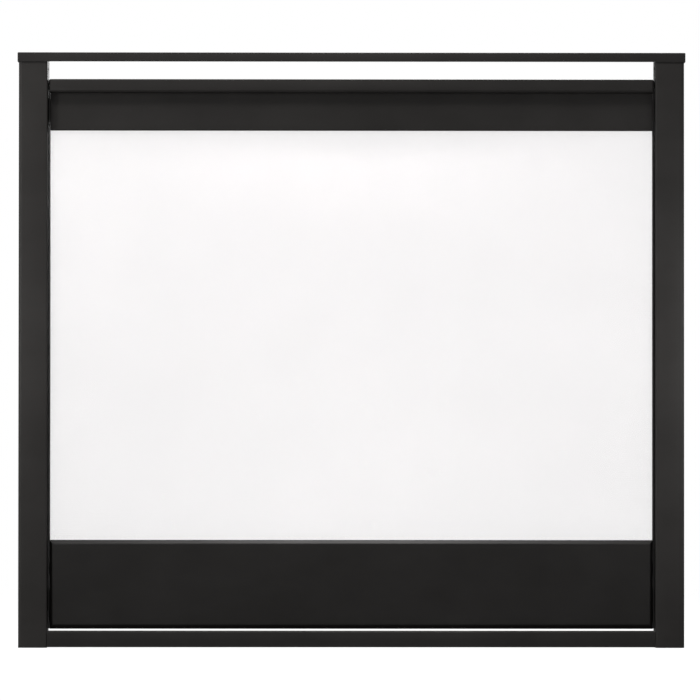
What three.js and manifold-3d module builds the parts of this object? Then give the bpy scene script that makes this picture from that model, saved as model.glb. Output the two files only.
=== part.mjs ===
// Front with a lift-off mesh screen for a built-in gas fireplace, in folded sheet steel.
//
// Millimetres. X runs to the right, Y to the back and Z up; the origin is on the floor, at the
// middle of the width and of the depth. The surround is two posts, a cap and a bottom rail. The
// screen is a hood, a lower panel and two side rails round a sheet of woven wire. It hangs by four
// studs in slots that rise to the front, so it comes away when it is lifted forwards.

import * as THREE from 'three';
import { mergeVertices } from 'three/addons/utils/BufferGeometryUtils.js';
import Module from 'manifold-3d';

// Whole front
const WIDTH = 1041;
const HEIGHT = 927;
const DEPTH = 48;

// Sheet steel
const SHEET = 1.5;
const BEND = 1; // inside radius of a fold
const CLEARANCE = 0.3; // between pieces that touch

// Posts
const POST_FACE = 45;
const POST_SOFT_BEND = 4; // inside radius of the outer front corner
const POST_FLANGE = 21; // rear flange that lies on the appliance
const POST_LIP = 9; // rear lip of the inner wall
const SLOT_WIDTH = 6.5; // screw slots of the rear flange
const SLOT_LENGTH = 16;
const SLOT_COUNT = 3;
const SLOT_INSET = 90; // from the ends of the post to the first and last slot

// Cap
const CAP_HEIGHT = 14.2;
const CAP_CORNER = 2;
const CAP_EDGE = 1.2;
const CAP_REAR_LIP = 6;
const CAP_BRACKET_FLANGE = 30;
const CAP_RIVET_INSET = 8; // from the lower edge of that flange
const CAP_STUD_INSET = 9; // from the front and rear edges of the cap's brackets

// Bottom rail
const RAIL_LIFT = 0.8;
const RAIL_HEIGHT = 25.2;
const RAIL_SETBACK = 1; // behind the face of the posts
const RAIL_DEPTH = 16;
const RAIL_BRACKET_LEG = 26;
const RAIL_BRACKET_ARM = 46;
const RAIL_BRACKET_HEIGHT = 15;
const RAIL_STUD_INSETS = [16, 36]; // from the ends of the rail
const RAIL_RIVET_INSETS = [15, 5]; // from the rear edge of the bracket's leg

// Gaps left round the screen
const OUTLET_GAP = 27; // warm air, between the hood and the cap
const AIR_SLOT = 2.8; // between the lower panel and the bottom rail
const SIDE_GAP = 1.5; // between a side rail and its post

// Hood
const HOOD_HEIGHT = 79.8;
const HOOD_SETBACK = 3.5;
const VISOR_HEIGHT = 21;
const VISOR_DEPTH = 18.5;
const VISOR_STEP = 13; // from the visor back to the face under it
const VISOR_SOFT_BEND = 4; // inside radius of its lower front edge
const VISOR_END_RADIUS = 2.5; // of its upright ends
const HOOD_REAR_LIP = 8;
const HOOD_RIVET_SHIFT = 2.5; // of each end rivet from the middle of the lap, back
const HOOD_RIVET_DROP = 3; // and down
const HEM_HEIGHT = 4;
const HEM_RADIUS = 0.5;

// Lower panel
const PANEL_HEIGHT = 138.5;
const PANEL_SETBACK = 9;
const PANEL_BEVEL_DEPTH = 5.5;
const PANEL_BEVEL = { side: 5, top: 6, bottom: 7.5 };
const PANEL_TOP_RIM = 26; // rear flange that carries the mesh
const PANEL_RIM = 11; // rear flange on the other three sides
const EAR_HEIGHT = 18;
const EAR_DEPTH = 10;

// Side rails
const SIDE_RAIL_SETBACK = 7; // behind the visor
const SIDE_RAIL_MARGIN = 5; // from the hanger studs to its rear edge
const SIDE_RAIL_REAR_GAP = 1; // from its rear edge to the legs of the hangers
const SIDE_RAIL_END = 0.7; // from its ends to those of the hood and the panel

// Mesh and its clamps
const MESH_THICKNESS = 0.8;
const MESH_EDGE = 3.5; // turned back along the side rails
const MESH_TUCK = 12; // beyond the middle of each clamp
const CLAMP_THICKNESS = 2;
const CLAMP_HEIGHT = 16;
const CLAMP_INSET = 30; // from the bottom of the hood to the middle of the upper clamp
const CLAMP_FASTENERS = 3;
const CLAMP_END_INSET = 140; // from the side rails to the first and last fastener

// Hangers
const HANGER_HEIGHT = 36;
const HANGER_OFFSET = 6; // from the side rail to the slotted plate
const HANGER_STUD_INSET = 45; // from the ends of the screen to its studs
const HANGER_STUD_GAP = 2.3; // from the clamps back to the heads of the studs
const HANGER_STUD_RADIUS = 3;
const HANGER_RIVET_SPACING = 22;
const HANGER_WEB_GAP = 2.5; // from the back of the posts to the hangers
const LIFT_ANGLE = THREE.MathUtils.degToRad(35);

// Fasteners
const RIVET = { shank: 1.6, head: 2.8, headHeight: 0.7, tail: 2.4, tailHeight: 1.6 };
const STUD = { radius: 2, reach: 1 }; // M4, and its length past the nut
const NUT = { flats: 7, height: 3.2 };
const HANGER_STUD = { flange: 4.5, flangeHeight: 1, head: 5, headHeight: 1.5 };

// Facets
const BEND_STEPS = 4;
const SOFT_BEND_STEPS = 8;
const ROUND = 16; // round a stud
const FINE = 12; // round a rivet or a hole

// Places that several pieces share. On the right half; the left is its mirror image.
const front = -DEPTH / 2 + SHEET + CLEARANCE;
const back = DEPTH / 2;
const postOuter = WIDTH / 2 - SHEET - CLEARANCE;
const postInner = postOuter - POST_FACE;
const postMiddle = (postOuter + postInner) / 2;
const postTop = HEIGHT - SHEET - CLEARANCE;
const railTop = RAIL_LIFT + RAIL_HEIGHT;
const railFront = front + RAIL_SETBACK;
const panelBottom = railTop + AIR_SLOT;
const panelTop = panelBottom + PANEL_HEIGHT;
const panelFace = front + PANEL_SETBACK;
const hoodTop = HEIGHT - CAP_HEIGHT - OUTLET_GAP;
const hoodBottom = hoodTop - HOOD_HEIGHT;
const visorFront = front + HOOD_SETBACK;
const visorBack = visorFront + VISOR_DEPTH;
const visorBottom = hoodTop - VISOR_HEIGHT;
const hoodFace = visorFront + VISOR_STEP;
const sideRailOuter = postInner - SIDE_GAP;
const sideRailInner = sideRailOuter - SHEET;
const sideRailFront = visorFront + SIDE_RAIL_SETBACK;
const fitHalf = sideRailInner - CLEARANCE; // half width of what sits between the side rails
const meshFront = hoodFace + SHEET + CLEARANCE;
const meshBack = meshFront + MESH_THICKNESS;
const clampFront = meshBack + CLEARANCE;
const clampBack = clampFront + CLAMP_THICKNESS;
const upperClampZ = hoodBottom + CLAMP_INSET;
const lowerClampZ = panelTop - PANEL_TOP_RIM / 2;
const hangerHeights = { upper: hoodTop - HANGER_STUD_INSET, lower: panelBottom + HANGER_STUD_INSET };
const hangerPlate = sideRailInner - HANGER_OFFSET; // outer face of the slotted plate
const hangerBack = back - HANGER_WEB_GAP;
const hangerStudY = clampBack + HANGER_STUD_GAP + HANGER_STUD.head;
const sideRailBack = hangerStudY + SIDE_RAIL_MARGIN;
const hangerLegFront = sideRailBack + SIDE_RAIL_REAR_GAP;
const capBracketFront = front + SHEET + POST_SOFT_BEND + CLEARANCE;
const capBracketBack = back - 2 * SHEET - BEND;
const holeRadius = (radius) => radius + CLEARANCE;

/** Evenly spread places, the first and the last given. */
function spread(count, first, last) {
  return Array.from({ length: count }, (_, i) => first + (i * (last - first)) / (count - 1));
}

const coat = { color: 0x2b2b2a, roughness: 0.5, metalness: 0.15 };
const steel = { color: 0xa7a8a6, roughness: 0.35, metalness: 0.9 };
const wire = { color: 0xb9bab8, roughness: 0.3, metalness: 0.9 };

const wasm = await Module();
wasm.setup();

// ---------------------------------------------------------------- solids

/** A closed geometry as a manifold solid: shared vertices merged, slivers dropped. */
function solid(geometry) {
  const bare = geometry.clone();
  bare.deleteAttribute('normal');
  bare.deleteAttribute('uv');
  const merged = mergeVertices(bare, 1e-4);
  const corners = merged.index.array;
  const kept = [];
  for (let i = 0; i < corners.length; i += 3) {
    const [a, b, c] = [corners[i], corners[i + 1], corners[i + 2]];
    if (a !== b && b !== c && c !== a) kept.push(a, b, c);
  }
  return new wasm.Manifold(new wasm.Mesh({
    numProp: 3,
    vertProperties: Float32Array.from(merged.attributes.position.array),
    triVerts: Uint32Array.from(kept),
  }));
}

function geometryOf(manifold) {
  const mesh = manifold.getMesh();
  const geometry = new THREE.BufferGeometry();
  geometry.setAttribute('position', new THREE.BufferAttribute(mesh.vertProperties, 3));
  geometry.setIndex(new THREE.BufferAttribute(mesh.triVerts, 1));
  return geometry;
}

/** The first geometry with the second list joined to it and the third cut from it. */
function built(base, added = [], removed = []) {
  let result = solid(base);
  for (const piece of added) result = result.add(solid(piece));
  for (const piece of removed) result = result.subtract(solid(piece));
  return geometryOf(result);
}

function block([x0, x1], [y0, y1], [z0, z1]) {
  const geometry = new THREE.BoxGeometry(x1 - x0, y1 - y0, z1 - z0);
  return geometry.translate((x0 + x1) / 2, (y0 + y1) / 2, (z0 + z1) / 2);
}

const BASES = {
  x: new THREE.Matrix4().makeBasis(
    new THREE.Vector3(0, 1, 0), new THREE.Vector3(0, 0, 1), new THREE.Vector3(1, 0, 0)),
  y: new THREE.Matrix4().makeBasis(
    new THREE.Vector3(0, 0, 1), new THREE.Vector3(1, 0, 0), new THREE.Vector3(0, 1, 0)),
  z: new THREE.Matrix4(),
};

/** A shape drawn across an axis (Y and Z for x, Z and X for y, X and Y for z), extruded along it. */
function extruded(shape, axis, from, to) {
  const geometry = new THREE.ExtrudeGeometry(shape, { depth: to - from, bevelEnabled: false });
  return geometry.translate(0, 0, from).applyMatrix4(BASES[axis]);
}

/** A round bar along an axis; the centre is given in the same order as in `extruded`. */
function bar(axis, [u, v], radius, from, to, facets = FINE) {
  const shape = new THREE.Shape();
  for (let i = 0; i < facets; i += 1) {
    const angle = (2 * Math.PI * i) / facets;
    const point = [u + radius * Math.cos(angle), v + radius * Math.sin(angle)];
    if (i === 0) shape.moveTo(...point);
    else shape.lineTo(...point);
  }
  return extruded(shape, axis, from, to);
}

/** A body turned about the X axis. The profile gives [x, radius] pairs. */
function turned(profile, facets = FINE) {
  const points = profile.map(([x, radius]) => new THREE.Vector2(radius, x));
  return new THREE.LatheGeometry(points, facets).rotateZ(-Math.PI / 2);
}

function mirrored(geometry) {
  const flipped = geometry.clone().scale(-1, 1, 1);
  const flat = flipped.index ? flipped.toNonIndexed() : flipped;
  const position = flat.attributes.position;
  const [a, c] = [new THREE.Vector3(), new THREE.Vector3()];
  for (let i = 0; i < position.count; i += 3) {
    a.fromBufferAttribute(position, i);
    c.fromBufferAttribute(position, i + 2);
    position.setXYZ(i, c.x, c.y, c.z);
    position.setXYZ(i + 2, a.x, a.y, a.z);
  }
  return flat;
}

const onSide = (sign, geometry) => (sign > 0 ? geometry : mirrored(geometry));

// ---------------------------------------------------------------- folded sheet

const leftOf = (direction) => new THREE.Vector2(-direction.y, direction.x);

/**
 * Walks along one face of a folded sheet and gives points on that face with the direction that
 * leads into the sheet, on the left of the walk. The path gives the sharp corners, each with the
 * inside radius of its fold, or BEND where it has none.
 */
function foldedFace(path, thickness) {
  const corners = path.map(([u, v]) => new THREE.Vector2(u, v));
  const samples = [];
  const put = (point, normal) => {
    const last = samples.at(-1);
    if (!last || last.point.distanceTo(point) > 1e-3) samples.push({ point, normal });
  };
  corners.forEach((corner, i) => {
    const before = corners[i - 1] ?? corner;
    const after = corners[i + 1] ?? corner;
    const arriving = corner.clone().sub(before).normalize();
    const leaving = after.clone().sub(corner).normalize();
    if (i === 0 || i === corners.length - 1) {
      put(corner, leftOf(i === 0 ? leaving : arriving));
      return;
    }
    const turn = Math.atan2(arriving.cross(leaving), arriving.dot(leaving));
    const inside = path[i][2] ?? BEND;
    const radius = turn > 0 ? inside + thickness : inside;
    const steps = inside > 2 * BEND ? SOFT_BEND_STEPS : BEND_STEPS;
    const setback = radius * Math.tan(Math.abs(turn) / 2);
    const start = corner.clone().addScaledVector(arriving, -setback);
    const toCentre = radius * Math.sign(turn);
    const centre = start.clone().addScaledVector(leftOf(arriving), toCentre);
    for (let step = 0; step <= steps; step += 1) {
      const normal = leftOf(arriving).rotateAround(new THREE.Vector2(), (turn * step) / steps);
      put(centre.clone().addScaledVector(normal, -toCentre), normal);
    }
  });
  return samples;
}

/** The section of a folded sheet, as a closed shape. */
function folded(path, thickness = SHEET) {
  const samples = foldedFace(path, thickness);
  const far = samples.map(({ point, normal }) => point.clone().addScaledVector(normal, thickness));
  return new THREE.Shape([...samples.map(({ point }) => point), ...far.reverse()]);
}

/** The area that a folded sheet encloses, closed by straight lines through further points. */
function enclosed(path, closing) {
  const points = foldedFace(path, SHEET).map(({ point }) => point);
  return new THREE.Shape([...points, ...closing.map(([u, v]) => new THREE.Vector2(u, v))]);
}

function stadium([u, v], width, length, angle) {
  const radius = width / 2;
  const reach = length / 2 - radius;
  const [du, dv] = [Math.cos(angle) * reach, Math.sin(angle) * reach];
  const shape = new THREE.Shape();
  shape.absarc(u + du, v + dv, radius, angle - Math.PI / 2, angle + Math.PI / 2, false);
  shape.absarc(u - du, v - dv, radius, angle + Math.PI / 2, angle + (3 * Math.PI) / 2, false);
  return new THREE.Shape(shape.getPoints(FINE / 2));
}

// ---------------------------------------------------------------- fasteners

/** A blind rivet along X through a stack from x = 0 to x = grip, with its head at x < 0. */
function rivet(grip) {
  const { shank, head, headHeight, tail, tailHeight } = RIVET;
  const under = -CLEARANCE;
  const over = grip + CLEARANCE;
  return turned([
    [under - headHeight, 0],
    [under - headHeight, head * 0.6],
    [under, head],
    [under, shank],
    [over, shank],
    [over, tail],
    [over + tailHeight, tail * 0.7],
    [over + tailHeight, 0],
  ]);
}

const rivetHole = (y, z, from, to) => bar('x', [y, z], holeRadius(RIVET.shank), from, to);
const studHole = (axis, centre, from, to) => bar(axis, centre, holeRadius(STUD.radius), from, to);

/** A hexagon nut along an axis, from its seat. */
function nut(axis, [u, v], from, to) {
  const corner = NUT.flats / Math.sqrt(3);
  const shape = new THREE.Shape();
  for (let i = 0; i < 6; i += 1) {
    const point = [u + corner * Math.cos((i * Math.PI) / 3), v + corner * Math.sin((i * Math.PI) / 3)];
    if (i === 0) shape.moveTo(...point);
    else shape.lineTo(...point);
  }
  const bore = new THREE.Path();
  bore.absarc(u, v, holeRadius(STUD.radius), 0, 2 * Math.PI, true);
  shape.holes.push(new THREE.Path(bore.getPoints(FINE).slice(0, -1)));
  return extruded(shape, axis, from, to);
}

/** A shouldered stud for the right side rail, with its head inboard of the slotted plate. */
function hangerStud() {
  const { flange, flangeHeight, head, headHeight } = HANGER_STUD;
  const base = sideRailInner - CLEARANCE;
  const tailFace = sideRailOuter + CLEARANCE;
  const headFace = hangerPlate - SHEET - CLEARANCE;
  return turned([
    [headFace - headHeight, 0],
    [headFace - headHeight, head * 0.9],
    [headFace, head],
    [headFace, HANGER_STUD_RADIUS],
    [base - flangeHeight, HANGER_STUD_RADIUS],
    [base - flangeHeight, flange],
    [base, flange],
    [base, STUD.radius],
    [tailFace, STUD.radius],
    [tailFace, RIVET.head],
    [tailFace + RIVET.headHeight, RIVET.head * 0.6],
    [tailFace + RIVET.headHeight, 0],
  ], ROUND);
}

// ---------------------------------------------------------------- places of the fasteners

const hangerRivetY = (hangerLegFront + hangerBack - SHEET) / 2;
const hangerRivets = Object.values(hangerHeights).flatMap((z) => [
  [hangerRivetY, z - HANGER_RIVET_SPACING / 2],
  [hangerRivetY, z + HANGER_RIVET_SPACING / 2],
]);
const railMiddle = RAIL_LIFT + RAIL_HEIGHT / 2;
const railBracketFace = railFront + SHEET + CLEARANCE;
const railBracketBack = railBracketFace + RAIL_BRACKET_LEG;
const railBracketRivets = RAIL_RIVET_INSETS.map((inset) => [railBracketBack - inset, railMiddle]);
const railStuds = RAIL_STUD_INSETS.map((inset) => postInner - inset);
const capStuds = [capBracketFront + CAP_STUD_INSET, capBracketBack - CAP_STUD_INSET];
const capBracketRivet = [
  (capBracketFront + capBracketBack) / 2, postTop - CAP_BRACKET_FLANGE + CAP_RIVET_INSET];
const clampPlaces = spread(CLAMP_FASTENERS, -fitHalf + CLAMP_END_INSET, fitHalf - CLAMP_END_INSET);
const upperClamp = { z: upperClampZ, shank: STUD.radius };
const lowerClamp = { z: lowerClampZ, shank: RIVET.shank };
const clampHoles = ({ z, shank }, from, to) => clampPlaces.map(
  (x) => bar('y', [z, x], holeRadius(shank), from, to));
const hoodLap = [(sideRailFront + visorBack) / 2, (hoodTop + visorBottom) / 2]; // with the side rails
const hoodRivets = [-1, 1].map((way) => [
  hoodLap[0] + way * HOOD_RIVET_SHIFT, hoodLap[1] - way * HOOD_RIVET_DROP]);
const earHeights = [panelBottom + PANEL_RIM + EAR_HEIGHT / 2, panelTop - PANEL_TOP_RIM - EAR_HEIGHT];
const earBack = meshFront - CLEARANCE + EAR_DEPTH;
const panelRivets = earHeights.map((z) => [earBack - EAR_DEPTH / 2, z]);

// ---------------------------------------------------------------- surround

/** Right post: a channel folded in five, open at the back between its lip and its flange. */
function post() {
  const section = folded([
    [postInner + POST_LIP, back],
    [postInner, back],
    [postInner, front],
    [postOuter, front, POST_SOFT_BEND],
    [postOuter, back],
    [postOuter - POST_FLANGE, back],
  ]);
  const wall = [postInner - 1, postInner + SHEET + 1];
  const holes = [...hangerRivets, ...railBracketRivets, capBracketRivet]
    .map(([y, z]) => rivetHole(y, z, ...wall));
  const slots = spread(SLOT_COUNT, SLOT_INSET, postTop - SLOT_INSET).map((z) => {
    const centre = [z, postOuter - POST_FLANGE / 2];
    return extruded(stadium(centre, SLOT_WIDTH, SLOT_LENGTH, 0), 'y', back - SHEET - 1, back + 1);
  });
  return built(extruded(section, 'z', 0, postTop), [], [...holes, ...slots]);
}

/** A slab with rounded upright corners; its top edge is rounded by `edge` above z1. */
function roundedSlab(halfWidth, [y0, y1], [z0, z1], corner, edge) {
  const shape = new THREE.Shape();
  shape.absarc(halfWidth - corner, y1 - corner, corner, 0, Math.PI / 2, false);
  shape.absarc(-halfWidth + corner, y1 - corner, corner, Math.PI / 2, Math.PI, false);
  shape.absarc(-halfWidth + corner, y0 + corner, corner, Math.PI, 1.5 * Math.PI, false);
  shape.absarc(halfWidth - corner, y0 + corner, corner, 1.5 * Math.PI, 2 * Math.PI, false);
  const outline = new THREE.Shape(shape.getPoints(BEND_STEPS));
  const slab = new THREE.ExtrudeGeometry(outline, {
    depth: z1 - z0, bevelThickness: edge, bevelSize: edge, bevelOffset: -edge, bevelSegments: 3,
  });
  slab.translate(0, 0, z0);
  return built(slab, [], [block([-halfWidth - 1, halfWidth + 1], [y0 - 1, y1 + 1], [z0 - 2 * edge, z0])]);
}

/** A shallow folded tray over the posts, with weld studs that reach down into them. */
function topCap() {
  const bottom = HEIGHT - CAP_HEIGHT;
  const half = WIDTH / 2;
  const inner = half - SHEET;
  const shell = roundedSlab(half, [-DEPTH / 2, back], [bottom, HEIGHT - CAP_EDGE], CAP_CORNER, CAP_EDGE);
  const hollow = block([-inner, inner], [-DEPTH / 2 + SHEET, back - SHEET], [bottom - 1, HEIGHT - SHEET]);
  const besidePosts = postInner - CLEARANCE;
  const underLip = block([-inner, inner], [back - 2 * SHEET, back + 1], [bottom - 1, HEIGHT - CAP_REAR_LIP]);
  const overPosts = [-1, 1].map((sign) => {
    const span = sign > 0 ? [besidePosts, inner] : [-inner, -besidePosts];
    return block(span, [back - 2 * SHEET, back + 1], [bottom - 1, HEIGHT - SHEET]);
  });
  const studBottom = postTop - SHEET - CLEARANCE - NUT.height - STUD.reach;
  const studs = [-postMiddle, postMiddle].flatMap((x) => capStuds.map(
    (y) => bar('z', [x, y], STUD.radius, studBottom, HEIGHT - SHEET / 2)));
  const tray = built(shell, [], [hollow, underLip, ...overPosts]);
  return built(tray, studs);
}

/** Closes the top of the right post and takes the cap's studs. */
function capBracket() {
  const wallFace = postInner + SHEET + CLEARANCE;
  const plateEnd = postOuter - SHEET - CLEARANCE;
  const section = folded([
    [postTop - CAP_BRACKET_FLANGE, wallFace], [postTop, wallFace], [postTop, plateEnd],
  ]);
  const holes = capStuds.map((y) => studHole('z', [postMiddle, y], postTop - 2 * SHEET, postTop + 1));
  holes.push(rivetHole(...capBracketRivet, wallFace - 1, wallFace + 2 * SHEET));
  return built(extruded(section, 'y', capBracketFront, capBracketBack), [], holes);
}

/** A channel between the posts, open at the back, with weld studs behind its face. */
function bottomRail() {
  const half = postInner - CLEARANCE;
  const rear = railFront + RAIL_DEPTH;
  const section = folded([[rear, railTop], [railFront, railTop], [railFront, RAIL_LIFT], [rear, RAIL_LIFT]]);
  const tip = railBracketFace + SHEET + CLEARANCE + NUT.height + STUD.reach;
  const studs = railStuds.flatMap((x) => [-x, x]).map(
    (x) => bar('y', [railMiddle, x], STUD.radius, railFront + SHEET / 2, tip));
  return built(extruded(section, 'x', -half, half), studs);
}

/** An angle inside the right end of the rail: a leg on the post, an arm on the rail's studs. */
function railBracket() {
  const wallFace = postInner - CLEARANCE;
  const section = folded([
    [wallFace - RAIL_BRACKET_ARM, railBracketFace],
    [wallFace, railBracketFace],
    [wallFace, railBracketFace + RAIL_BRACKET_LEG],
  ]);
  const [z0, z1] = [railMiddle - RAIL_BRACKET_HEIGHT / 2, railMiddle + RAIL_BRACKET_HEIGHT / 2];
  const holes = railStuds.map(
    (x) => studHole('y', [railMiddle, x], railBracketFace - 1, railBracketFace + 2 * SHEET));
  holes.push(...railBracketRivets.map(([y, z]) => rivetHole(y, z, wallFace - 2 * SHEET, wallFace + 1)));
  return built(extruded(section, 'z', z0, z1), [], holes);
}

/** Folded in plan: a leg on the right post, a web behind the screen and the slotted plate. */
function hangerBracket(studZ) {
  const wallFace = postInner - CLEARANCE;
  const plateFront = visorBack + CLEARANCE;
  const inboard = hangerPlate - SHEET;
  const section = folded([
    [wallFace, hangerLegFront], [wallFace, hangerBack], [inboard, hangerBack], [inboard, plateFront],
  ]);
  const plate = extruded(section, 'z', studZ - HANGER_HEIGHT / 2, studZ + HANGER_HEIGHT / 2);
  const width = 2 * holeRadius(HANGER_STUD_RADIUS);
  const length = width + (2 * (hangerStudY - plateFront)) / Math.cos(LIFT_ANGLE) + width;
  const shift = (length - width) / 2;
  const centre = [hangerStudY - shift * Math.cos(LIFT_ANGLE), studZ + shift * Math.sin(LIFT_ANGLE)];
  const opening = stadium(centre, width, length, Math.PI - LIFT_ANGLE);
  const slot = extruded(opening, 'x', inboard - 1, hangerPlate + 1);
  const holes = hangerRivets.filter(([, z]) => Math.abs(z - studZ) < HANGER_HEIGHT / 2)
    .map(([y, z]) => rivetHole(y, z, wallFace - 2 * SHEET, wallFace + 1));
  return built(plate, [], [slot, ...holes]);
}

// ---------------------------------------------------------------- screen

/** What is cut from the right end of the visor to round its upright edge. */
function endRounding() {
  const [x, y] = [fitHalf - VISOR_END_RADIUS, visorFront + VISOR_END_RADIUS];
  const shape = new THREE.Shape();
  shape.moveTo(x, visorFront - 1);
  shape.lineTo(fitHalf + 1, visorFront - 1);
  shape.lineTo(fitHalf + 1, y);
  shape.absarc(x, y, VISOR_END_RADIUS, 0, -Math.PI / 2, true);
  return extruded(new THREE.Shape(shape.getPoints(BEND_STEPS)), 'z', visorBottom - 1, hoodTop + 1);
}

/** One folded sheet: rear lip, visor, step, face and an open hem, with welded ends. */
function hood() {
  const hemZ = hoodBottom + SHEET;
  const hemY = hoodFace - 2 * HEM_RADIUS;
  const visor = [
    [visorBack, hoodTop - HOOD_REAR_LIP], [visorBack, hoodTop], [visorFront, hoodTop],
    [visorFront, visorBottom, VISOR_SOFT_BEND], [hoodFace, visorBottom],
  ];
  const hem = [[hoodFace, hemZ, HEM_RADIUS], [hemY, hemZ, HEM_RADIUS], [hemY, hoodBottom + HEM_HEIGHT]];
  const sheet = extruded(folded([...visor, ...hem]), 'x', -fitHalf, fitHalf);
  const end = enclosed(visor, [[visorBack, visorBottom]]);
  const ends = [[-fitHalf, -fitHalf + SHEET], [fitHalf - SHEET, fitHalf]]
    .map((span) => extruded(end, 'x', ...span));
  const tip = clampBack + CLEARANCE + NUT.height + STUD.reach;
  const studs = clampPlaces.map(
    (x) => bar('y', [upperClampZ, x], STUD.radius, hoodFace + SHEET / 2, tip));
  const holes = hoodRivets.flatMap(([y, z]) => [[-fitHalf - 1, -fitHalf + 2 * SHEET],
    [fitHalf - 2 * SHEET, fitHalf + 1]].map((span) => rivetHole(y, z, ...span)));
  return built(sheet, [...ends, ...studs], [...holes, endRounding(), mirrored(endRounding())]);
}

/** A closed body through a row of upright rectangles, from the front to the back. */
function loft(rectangles) {
  const positions = rectangles.flatMap(({ half, bottom, top, y }) => [
    -half, y, bottom, half, y, bottom, half, y, top, -half, y, top,
  ]);
  const last = 4 * (rectangles.length - 1);
  const faces = [0, 1, 2, 0, 2, 3, last, last + 2, last + 1, last, last + 3, last + 2];
  for (let ring = 0; ring < last; ring += 4) {
    for (let k = 0; k < 4; k += 1) {
      const [a, b] = [ring + k, ring + ((k + 1) % 4)];
      faces.push(a, a + 4, b + 4, a, b + 4, b);
    }
  }
  const geometry = new THREE.BufferGeometry();
  geometry.setAttribute('position', new THREE.Float32BufferAttribute(positions, 3));
  geometry.setIndex(faces);
  return geometry;
}

/** The pan's form `inset` mm inside its outer faces, with soft creases, back to `rear`. */
function panForm(inset, rear) {
  const narrowing = 0.586 * inset; // what a 45 degree bevel loses when it is offset
  const depth = PANEL_BEVEL_DEPTH - narrowing;
  const face = panelFace + inset;
  const share = 0.25; // of the bevel, taken by the softening of each crease
  const curve = new THREE.Path();
  curve.moveTo(1 + share, face);
  curve.quadraticCurveTo(1, face, 1 - share, face + share * depth);
  curve.lineTo(share, face + (1 - share) * depth);
  curve.quadraticCurveTo(0, face + depth, 0, face + (1 + share) * depth);
  curve.lineTo(0, rear);
  return loft(curve.getPoints(BEND_STEPS).map(({ x: amount, y }) => ({
    y,
    half: fitHalf - inset - amount * (PANEL_BEVEL.side - narrowing),
    bottom: panelBottom + inset + amount * (PANEL_BEVEL.bottom - narrowing),
    top: panelTop - inset - amount * (PANEL_BEVEL.top - narrowing),
  })));
}

/** A bevelled pan with a rear rim, and ears for the side rails. */
function lowerPanel() {
  const rear = meshFront - CLEARANCE;
  const window = block(
    [-fitHalf + PANEL_RIM, fitHalf - PANEL_RIM],
    [rear - 2 * SHEET, rear + 1],
    [panelBottom + PANEL_RIM, panelTop - PANEL_TOP_RIM]);
  const pan = built(panForm(0, rear), [], [panForm(SHEET, rear - SHEET), window]);
  const ears = [[-fitHalf, -fitHalf + SHEET], [fitHalf - SHEET, fitHalf]].flatMap((span) => earHeights.map(
    (z) => block(span, [rear - SHEET / 2, earBack], [z - EAR_HEIGHT / 2, z + EAR_HEIGHT / 2])));
  const holes = panelRivets.flatMap(([y, z]) => [[-fitHalf - 1, -fitHalf + 2 * SHEET],
    [fitHalf - 2 * SHEET, fitHalf + 1]].map((span) => rivetHole(y, z, ...span)));
  return built(pan, ears, [...holes, ...clampHoles(lowerClamp, rear - 2 * SHEET, rear + 1)]);
}

/** A flat strip on edge at the right end of the hood and the panel. */
function sideRail() {
  const strip = block(
    [sideRailInner, sideRailOuter],
    [sideRailFront, sideRailBack],
    [panelBottom + SIDE_RAIL_END, hoodTop - SIDE_RAIL_END]);
  const span = [sideRailInner - 1, sideRailOuter + 1];
  const holes = [...hoodRivets, ...panelRivets].map(([y, z]) => rivetHole(y, z, ...span));
  holes.push(...Object.values(hangerHeights).map((z) => studHole('x', [hangerStudY, z], ...span)));
  return built(strip, [], holes);
}

/** The wire cloth as a thin sheet, its side edges turned back along the side rails. */
function meshCloth() {
  const section = folded([
    [-fitHalf, meshFront + MESH_EDGE], [-fitHalf, meshFront], [fitHalf, meshFront],
    [fitHalf, meshFront + MESH_EDGE],
  ], MESH_THICKNESS);
  const holes = [upperClamp, lowerClamp].flatMap((row) => clampHoles(row, meshFront - 1, meshBack + 1));
  return built(extruded(section, 'z', lowerClampZ - MESH_TUCK, upperClampZ + MESH_TUCK), [], holes);
}

/** A flat bar that holds the cloth against the hood or the panel. */
function meshClamp(row) {
  const half = fitHalf - MESH_THICKNESS - BEND - CLEARANCE;
  const strip = block(
    [-half, half],
    [clampFront, clampBack],
    [row.z - CLAMP_HEIGHT / 2, row.z + CLAMP_HEIGHT / 2]);
  return built(strip, [], clampHoles(row, clampFront - 1, clampBack + 1));
}

// ---------------------------------------------------------------- assembly

const fireplaceFront = new THREE.Group();
const surround = new THREE.Group();
const screen = new THREE.Group();
fireplaceFront.add(surround, screen);

function place(group, name, geometry, finish) {
  const material = new THREE.MeshStandardMaterial({ ...finish, flatShading: true });
  const mesh = new THREE.Mesh(geometry, material);
  mesh.name = name;
  group.add(mesh);
}

place(surround, 'top_cap', topCap(), coat);
place(surround, 'bottom_rail', bottomRail(), coat);
place(screen, 'hood', hood(), coat);
place(screen, 'lower_panel', lowerPanel(), coat);
place(screen, 'mesh_cloth', meshCloth(), wire);
place(screen, 'mesh_clamp_top', meshClamp(upperClamp), steel);
place(screen, 'mesh_clamp_bottom', meshClamp(lowerClamp), steel);

const clampSeat = clampBack + CLEARANCE;
const clampStack = clampBack - (meshFront - CLEARANCE - SHEET); // with the cloth and the pan's rim
clampPlaces.forEach((x, i) => {
  place(screen, `clamp_nut_${i + 1}`,
    nut('y', [upperClampZ, x], clampSeat, clampSeat + NUT.height), steel);
  place(screen, `clamp_rivet_${i + 1}`,
    rivet(clampStack).rotateZ(-Math.PI / 2).translate(x, clampBack, lowerClampZ), steel);
});

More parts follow.
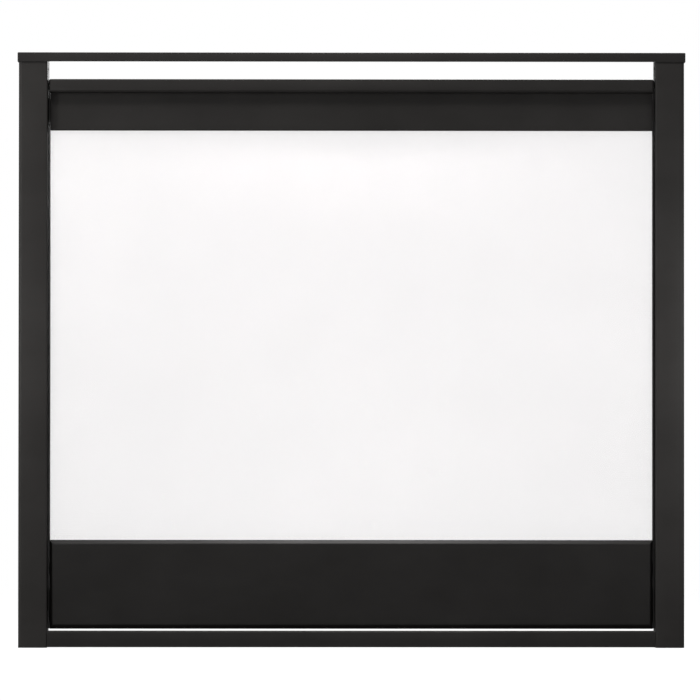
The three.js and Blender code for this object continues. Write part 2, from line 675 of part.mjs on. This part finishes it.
for (const [side, sign] of [['left', -1], ['right', 1]]) {
  const fit = (group, name, geometry, finish) => place(group, name, onSide(sign, geometry), finish);
  const wallStack = SHEET + CLEARANCE + SHEET;
  const wallRivet = ([y, z]) => rivet(wallStack).translate(postInner - CLEARANCE - SHEET, y, z);
  const railRivet = ([y, z]) => rivet(wallStack).rotateZ(Math.PI).translate(sideRailOuter, y, z);

  fit(surround, `${side}_post`, post(), coat);
  fit(surround, `cap_bracket_${side}`, capBracket(), steel);
  fit(surround, `rail_bracket_${side}`, railBracket(), steel);
  fit(surround, `cap_bracket_rivet_${side}`,
    rivet(wallStack).translate(postInner, ...capBracketRivet), coat);

  const nutTop = postTop - SHEET - CLEARANCE;
  capStuds.forEach((y, i) => {
    fit(surround, `cap_nut_${side}_${i + 1}`,
      nut('z', [postMiddle, y], nutTop - NUT.height, nutTop), steel);
  });
  const nutSeat = railBracketFace + SHEET + CLEARANCE;
  railStuds.forEach((x, i) => {
    fit(surround, `rail_nut_${side}_${i + 1}`,
      nut('y', [railMiddle, x], nutSeat, nutSeat + NUT.height), steel);
  });
  railBracketRivets.forEach((at, i) => {
    fit(surround, `rail_bracket_rivet_${side}_${i + 1}`, wallRivet(at), steel);
  });

  Object.entries(hangerHeights).forEach(([level, z]) => {
    fit(surround, `hanger_${level}_${side}`, hangerBracket(z), steel);
    fit(screen, `hanger_stud_${level}_${side}`, hangerStud().translate(0, hangerStudY, z), steel);
  });
  hangerRivets.forEach((at, i) => {
    fit(surround, `hanger_rivet_${side}_${i + 1}`, wallRivet(at), steel);
  });

  fit(screen, `side_rail_${side}`, sideRail(), coat);
  hoodRivets.forEach((at, i) => fit(screen, `hood_rivet_${side}_${i + 1}`, railRivet(at), coat));
  panelRivets.forEach((at, i) => fit(screen, `panel_rivet_${side}_${i + 1}`, railRivet(at), coat));
}

export default fireplaceFront;
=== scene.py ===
"""The looks of a fireplace screen: black powder-coated sheet steel, zinc-plated fasteners and a fine
bright wire cloth, on a pale floor in soft studio light. Everything is in metres, in the frame of the
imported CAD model."""

import math
import random

import bpy
import numpy as np
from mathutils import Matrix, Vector


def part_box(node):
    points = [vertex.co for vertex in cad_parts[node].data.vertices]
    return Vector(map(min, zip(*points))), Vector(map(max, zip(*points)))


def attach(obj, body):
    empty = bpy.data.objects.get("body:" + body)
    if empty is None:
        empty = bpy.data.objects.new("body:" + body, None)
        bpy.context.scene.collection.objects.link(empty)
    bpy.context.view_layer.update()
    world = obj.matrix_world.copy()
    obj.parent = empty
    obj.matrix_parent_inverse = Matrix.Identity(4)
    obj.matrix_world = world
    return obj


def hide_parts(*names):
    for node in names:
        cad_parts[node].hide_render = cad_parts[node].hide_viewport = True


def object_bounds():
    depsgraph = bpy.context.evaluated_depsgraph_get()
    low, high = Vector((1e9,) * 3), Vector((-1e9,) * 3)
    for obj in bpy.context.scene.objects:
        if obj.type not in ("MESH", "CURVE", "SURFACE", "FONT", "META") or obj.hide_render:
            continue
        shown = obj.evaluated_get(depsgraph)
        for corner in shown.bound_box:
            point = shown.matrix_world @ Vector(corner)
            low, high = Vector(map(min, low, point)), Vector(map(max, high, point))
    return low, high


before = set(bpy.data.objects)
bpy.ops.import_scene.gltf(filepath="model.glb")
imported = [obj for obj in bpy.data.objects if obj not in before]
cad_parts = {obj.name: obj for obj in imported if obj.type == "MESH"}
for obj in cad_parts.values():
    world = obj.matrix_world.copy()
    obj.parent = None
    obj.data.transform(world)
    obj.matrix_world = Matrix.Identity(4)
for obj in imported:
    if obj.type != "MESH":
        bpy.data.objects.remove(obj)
cad_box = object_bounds()
middle = (cad_box[0] + cad_box[1]) / 2
scene = bpy.context.scene

MM = 0.001
WHITE = (1, 1, 1, 1)

# The camera stands in front, a little below the middle, and looks up by less than a degree.
VIEW_DISTANCE = 6.5  # from the lens to the faces of the posts
VIEW_SPAN = 1.09  # what the frame's width takes in at that distance
VIEW_PITCH = math.radians(0.72)
VIEW_ROLL = math.radians(-0.035)
VIEW_TURN = math.radians(0.33)  # how far to the left of the middle it stands
VIEW_AIM = Vector((-2.25 * MM, 0, 0))  # from the middle of the object
SENSOR = 36.0  # mm

# The wire cloth: 24 wires to the inch, each way.
WIRE_PITCH = 1.04 * MM
WIRE_RADIUS = 0.07 * MM
WIRE_SIDES = 6
WIRE_BEND = 0.8 * MM  # radius at which the cloth turns back along its sides
WIRE_BEND_STEPS = 3
WIRE_WANDER = 0.03 * MM  # how far a wire lies from its even place
CLOTH_SHEET = 0.8 * MM  # thickness of the CAD sheet that stands for the cloth
SEED = 24

# The pale floor.
FLOOR_HALF = 2.2  # its far edge lies behind the lower panel, where the mesh doesn't show it
FLOOR_DROP = 0.2 * MM  # below the feet of the posts
FLOOR_SHADE = 0.17
FLOOR_GLOW = 0.95

CREASE = math.radians(32)  # two triangles that meet at more than this meet in a sharp edge
SAME_PLACE = 0.001 * MM  # two vertices nearer than this are one


# --- Nodes of a material or a world ---------------------------------------------------------------


class Graph:
    """The node tree of a material or a world, with short calls for what they have in common."""

    def __init__(self, owner, output="ShaderNodeOutputMaterial"):
        owner.use_nodes = True
        self.owner = owner
        self.tree = owner.node_tree
        self.tree.nodes.clear()
        self.output = self.add(output)

    def add(self, kind, inputs=None, **settings):
        node = self.tree.nodes.new(kind)
        for key, value in settings.items():
            setattr(node, key, value)
        for key, value in (inputs or {}).items():
            self.feed(node.inputs[key], value)
        return node

    def feed(self, socket, value):
        if isinstance(value, bpy.types.NodeSocket):
            self.tree.links.new(value, socket)
        else:
            socket.default_value = value

    def place(self):
        """Where a point lies on the object."""
        return self.add("ShaderNodeTexCoord").outputs["Object"]

    def math(self, operation, a, b):
        return self.add("ShaderNodeMath", {0: a, 1: b}, operation=operation).outputs[0]

    def noise(self, size, detail=2.0, roughness=0.5, stretch=(1, 1, 1)):
        """Noise with features of that size in metres, drawn out along the axes by stretch."""
        scale = [1 / (size * k) for k in stretch]
        mapping = self.add("ShaderNodeMapping", {"Vector": self.place(), "Scale": scale})
        return self.add("ShaderNodeTexNoise", {
            "Vector": mapping.outputs[0], "Scale": 1.0, "Detail": detail, "Roughness": roughness,
        }).outputs["Fac"]

    def spread(self, value, low, high, start=0.3, end=0.7):
        """value, clipped to start and end, as a number from low to high."""
        return self.add("ShaderNodeMapRange", {
            "Value": value, "From Min": start, "From Max": end, "To Min": low, "To Max": high,
        }).outputs[0]

    def tint(self, value, dark, light):
        """value as a colour from dark to light."""
        mix = self.add("ShaderNodeMix", {"Factor": self.spread(value, 0, 1)}, data_type="RGBA")
        self.feed(mix.inputs["A"], (*dark, 1))
        self.feed(mix.inputs["B"], (*light, 1))
        return mix.outputs["Result"]

    def bump(self, height, depth, below=None):
        """The normal of a surface raised by up to depth metres where height is 1."""
        node = self.add("ShaderNodeBump", {"Height": height, "Distance": depth, "Strength": 1.0})
        if below is not None:
            self.feed(node.inputs["Normal"], below)
        return node.outputs[0]

    def surface(self, shader):
        """Gives the graph's material or world that shader."""
        self.feed(self.output.inputs["Surface"], shader.outputs[0])
        return self.owner


def material(name):
    """The graph of a new material."""
    return Graph(bpy.data.materials.new(name))


def powder_coat(name, shade):
    """Satin black: an even fine orange peel, with slow changes of gloss over the length of a sheet."""
    g = material(name)
    cloudy = g.noise(0.11, detail=3)
    rubbed = g.noise(0.02, detail=4, stretch=(3, 1, 1))
    peel = g.noise(0.0013, detail=1)
    grain = g.noise(0.00035, detail=2)
    waves = g.noise(0.09, detail=1)
    normal = g.bump(waves, 0.10 * MM)
    normal = g.bump(peel, 0.012 * MM, normal)
    normal = g.bump(grain, 0.004 * MM, normal)
    # Below 1, shade darkens the colour: painted shade for pieces that stand in shade or get too much
    # light.
    dark = [shade * c for c in (0.0216, 0.0202, 0.0192)]
    light = [shade * c for c in (0.0258, 0.0241, 0.0229)]
    return g.surface(g.add("ShaderNodeBsdfPrincipled", {
        "Base Color": g.tint(cloudy, dark, light),
        "Roughness": 0.7,
        "Specular IOR Level": 0.0,
        "Coat Weight": g.math("ADD", g.spread(cloudy, -0.015, 0.015), g.spread(rubbed, 0.24, 0.21)),
        "Coat Roughness": 0.48,
        "Coat Normal": normal,
        "Normal": normal,
    }))


def zinc_plate():
    """Dull zinc plate on small fasteners: greyish, with a fine spangle and darker blooms."""
    g = material("plated_steel")
    bloom = g.noise(0.004, detail=4, roughness=0.6)
    spangle = g.noise(0.0006, detail=2)
    return g.surface(g.add("ShaderNodeBsdfPrincipled", {
        "Base Color": g.tint(bloom, (0.36, 0.37, 0.38), (0.52, 0.53, 0.53)),
        "Metallic": 1.0,
        "Roughness": g.spread(bloom, 0.46, 0.34),
        "Normal": g.bump(spangle, 0.01 * MM),
    }))


def bright_wire():
    """Stainless wire, drawn bright, a little duller here and there."""
    g = material("wire_cloth")
    dulling = g.noise(0.12, detail=2)
    return g.surface(g.add("ShaderNodeBsdfPrincipled", {
        "Base Color": g.tint(dulling, (0.470, 0.430, 0.440), (0.520, 0.475, 0.485)),
        "Metallic": 1.0,
        "Roughness": g.spread(dulling, 0.60, 0.55),
    }))


# --- CAD nodes ------------------------------------------------------------------------------------

FINISHES = {
    "black_coat": powder_coat("black_coat", shade=1.0),
    "plated_steel": zinc_plate(),
    "wire_cloth": bright_wire(),
}
# Painted shade: how light the coat of a piece is, where it is darker than that of the posts.
# It is the same coat as on the posts, made darker where recesses, the visor and the gaps shade a piece,
# or where the floor and the overhead lamp light it more than they should.
PAINTED_SHADE_COATS = {
    "top_cap": 0.72,
    "bottom_rail": 0.66,
    "hood": 0.78,
    "lower_panel": 0.52,
    "side_rail_left": 0.52,
    "side_rail_right": 0.52,
}


def soften(obj):
    """Shades the bends of a CAD node smoothly and keeps its edges sharp. Its vertices stay in place."""
    mesh = obj.data
    corners = np.empty(len(mesh.vertices) * 3)
    mesh.vertices.foreach_get("co", corners)
    places = np.round(corners.reshape(-1, 3) / SAME_PLACE).astype(np.int64)

    def ends(vertices):
        return frozenset(tuple(places[v]) for v in vertices)

    normals = {}
    for polygon in mesh.polygons:
        for key in polygon.edge_keys:
            normals.setdefault(ends(key), []).append(polygon.normal)
    sharp = []
    for edge in mesh.edges:
        first, *others = normals[ends(edge.vertices)]
        sharp.append(any(first.angle(other, 0) > CREASE for other in others))
    custom = mesh.attributes.get("custom_normal")
    if custom:
        mesh.attributes.remove(custom)
    mesh.shade_smooth()
    for edge, is_sharp in zip(mesh.edges, sharp):
        edge.use_edge_sharp = is_sharp
    weld = obj.modifiers.new("weld", "WELD")
    weld.merge_threshold = SAME_PLACE


for name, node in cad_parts.items():
    soften(node)
    for slot in node.material_slots:
        slot.material = FINISHES[slot.material.name.split(".")[0]]
        # These pieces get a darker copy of the same coat: painted shade.
        if name in PAINTED_SHADE_COATS:
            slot.material = powder_coat(f"black_coat_{name}", PAINTED_SHADE_COATS[name])


# --- The wire cloth -------------------------------------------------------------------------------


def wire(path, across):
    """Vertices and faces of a round wire along path, a list of points in a plane with normal across."""
    points = [Vector(p) for p in path]
    vertices, faces = [], []
    for i, point in enumerate(points):
        along = (points[min(i + 1, len(points) - 1)] - points[max(i - 1, 0)]).normalized()
        out = along.cross(across)
        for k in range(WIRE_SIDES):
            turn = math.tau * k / WIRE_SIDES
            vertices.append(point + WIRE_RADIUS * (math.cos(turn) * out + math.sin(turn) * across))
    for i in range(len(points) - 1):
        for k in range(WIRE_SIDES):
            a, b = i * WIRE_SIDES + k, i * WIRE_SIDES + (k + 1) % WIRE_SIDES
            faces.append((a, b, b + WIRE_SIDES, a + WIRE_SIDES))
    last = (len(points) - 1) * WIRE_SIDES
    faces.append(tuple(range(WIRE_SIDES))[::-1])
    faces.append(tuple(range(last, last + WIRE_SIDES)))
    return vertices, faces


def wire_cloth():
    """The cloth: upright wires in front of level ones, whose ends turn back with it along its sides."""
    low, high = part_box("mesh_cloth")
    wander = random.Random(SEED)
    centre = low.y + CLOTH_SHEET / 2
    front, back = centre - WIRE_RADIUS, centre + WIRE_RADIUS
    side = high.x - WIRE_RADIUS * 3  # of the level wires; the upright ones there lie outside them
    rear = high.y - WIRE_RADIUS
    level, upright = Vector((0, 0, 1)), Vector((0, 1, 0))
    vertices, faces = [], []

    def add(path, across):
        more_vertices, more_faces = wire(path, across)
        start = len(vertices)
        vertices.extend(more_vertices)
        faces.extend(tuple(v + start for v in face) for face in more_faces)

    def places(start, end):
        count = round((end - start) / WIRE_PITCH)
        return [
            start + (end - start) * (k + 0.5) / count + wander.uniform(-WIRE_WANDER, WIRE_WANDER)
            for k in range(count)
        ]

    for x in places(-side, side):
        top = x + wander.uniform(-WIRE_WANDER, WIRE_WANDER)
        add([(x, front, low.z), (top, front, high.z)], upright)
    for y in places(back + WIRE_BEND, rear):
        for x in (-side - 2 * WIRE_RADIUS, side + 2 * WIRE_RADIUS):
            add([(x, y, low.z), (x, y, high.z)], upright)

    turns = [math.radians(90) * k / WIRE_BEND_STEPS for k in range(WIRE_BEND_STEPS + 1)]
    corner = [
        (side - WIRE_BEND * (1 - math.sin(turn)), back + WIRE_BEND * (1 - math.cos(turn)))
        for turn in turns
    ]
    right = [*corner, (side, rear)]
    outline = [(-x, y) for x, y in reversed(right)] + right
    for z in places(low.z, high.z):
        add([(x, y, z) for x, y in outline], level)

    mesh = bpy.data.meshes.new("woven_cloth")
    mesh.from_pydata(vertices, [], faces)
    mesh.shade_smooth()
    mesh.materials.append(FINISHES["wire_cloth"])
    cloth = bpy.data.objects.new("woven_cloth", mesh)
    scene.collection.objects.link(cloth)
    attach(cloth, "screen")
    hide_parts("mesh_cloth")


wire_cloth()


# --- The studio -----------------------------------------------------------------------------------


def seen(g):
    """1 for the rays that show the background: from the camera, in reflections and through glass."""
    path = g.add("ShaderNodeLightPath").outputs
    either = g.math("MAXIMUM", path["Is Camera Ray"], path["Is Glossy Ray"])
    return g.math("MAXIMUM", either, path["Is Transmission Ray"])


def studio_floor():
    """A pale floor that keeps the object's shadow and fades into the white around it with distance."""
    g = material("studio_floor")
    matt = g.add("ShaderNodeBsdfDiffuse", {"Color": (FLOOR_SHADE, FLOOR_SHADE, FLOOR_SHADE, 1)})
    glow = g.add("ShaderNodeEmission", {
        "Color": WHITE, "Strength": g.math("MULTIPLY", seen(g), FLOOR_GLOW),
    })
    both = g.add("ShaderNodeAddShader", {0: matt.outputs[0], 1: glow.outputs[0]})
    clear = g.add("ShaderNodeBsdfTransparent")
    reach = g.add("ShaderNodeVectorMath", {0: g.place()}, operation="LENGTH").outputs["Value"]
    g.surface(g.add("ShaderNodeMixShader", {
        0: g.spread(reach, 0, 1, 0, FLOOR_HALF), 1: both.outputs[0], 2: clear.outputs[0],
    }))
    mesh = bpy.data.meshes.new("studio_floor")
    mesh.from_pydata(
        [(x * FLOOR_HALF, y * FLOOR_HALF, 0) for x, y in ((-1, -1), (1, -1), (1, 1), (-1, 1))],
        [], [(0, 1, 2, 3)])
    mesh.materials.append(g.owner)
    floor = bpy.data.objects.new("studio_floor", mesh)
    floor.location.z = -FLOOR_DROP
    scene.collection.objects.link(floor)


def studio_world(level):
    """A white background that lights the object at that level."""
    g = Graph(bpy.data.worlds.new("studio"), "ShaderNodeOutputWorld")
    scene.world = g.surface(g.add("ShaderNodeBackground", {
        "Color": WHITE, "Strength": g.spread(seen(g), level, 1, 0, 1),
    }))


def softbox(name, place, aim, size, power, spread=180):
    """A lamp of that size in metres and power in watts, whose light spreads by that many degrees."""
    data = bpy.data.lights.new(name, "AREA")
    data.spread = math.radians(spread)
    data.shape = "RECTANGLE"
    data.size, data.size_y = size
    data.energy = power
    lamp = bpy.data.objects.new(name, data)
    lamp.location = place
    lamp.rotation_mode = "QUATERNION"
    lamp.rotation_quaternion = (Vector(aim) - Vector(place)).to_track_quat("-Z", "Y")
    lamp.visible_camera = False
    scene.collection.objects.link(lamp)


def studio_lamps():
    """Lamps in front of the object and over it, and one behind it. Left is where x is negative."""
    # High in front: the visor throws its shadow on the hood.
    softbox("top left", (-0.8, -0.85, 2.3), middle, size=(0.5, 0.3), power=20)
    softbox("top right", (0.7, -0.85, 2.3), middle, size=(0.5, 0.3), power=10)
    # Small ones that light the posts at mid height.
    softbox("left", (-1.0, -0.8, 0.6), (-0.5, 0, 0.5), size=(0.25, 0.3), power=0.27, spread=50)
    softbox("right", (1.0, -0.8, 0.55), (0.5, 0, 0.45), size=(0.25, 0.3), power=0.48, spread=50)
    # A tall one at the side, for the bend along the left post.
    softbox("side", (-1.9, -1.35, 0.9), middle, size=(0.25, 1.2), power=18.7)
    # A narrow one, for the bevel along the top of the lower panel.
    softbox("overhead", (0.0, -0.13, 3.0), (0.0, -0.02, 0.17), size=(0.38, 0.10), power=1.7, spread=22)
    # For the back.
    softbox("rear", (0.7, 2.2, 1.4), middle, size=(1.0, 1.0), power=20, spread=70)


def studio_camera():
    """The camera, which looks at the faces of the posts."""
    data = bpy.data.cameras.new("camera")
    data.sensor_width = SENSOR
    data.lens = SENSOR * VIEW_DISTANCE / VIEW_SPAN
    camera = bpy.data.objects.new("camera", data)
    aim = middle + VIEW_AIM
    aim.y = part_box("left_post")[0].y
    level = math.cos(VIEW_PITCH)
    line = Vector((level * math.sin(VIEW_TURN), level * math.cos(VIEW_TURN), math.sin(VIEW_PITCH)))
    camera.location = aim - VIEW_DISTANCE * line
    camera.rotation_euler = (math.radians(90) + VIEW_PITCH, VIEW_ROLL, -VIEW_TURN)
    scene.collection.objects.link(camera)
    scene.camera = camera


studio_floor()
studio_world(level=0.2)
studio_lamps()
studio_camera()
scene.view_settings.view_transform = "Standard"
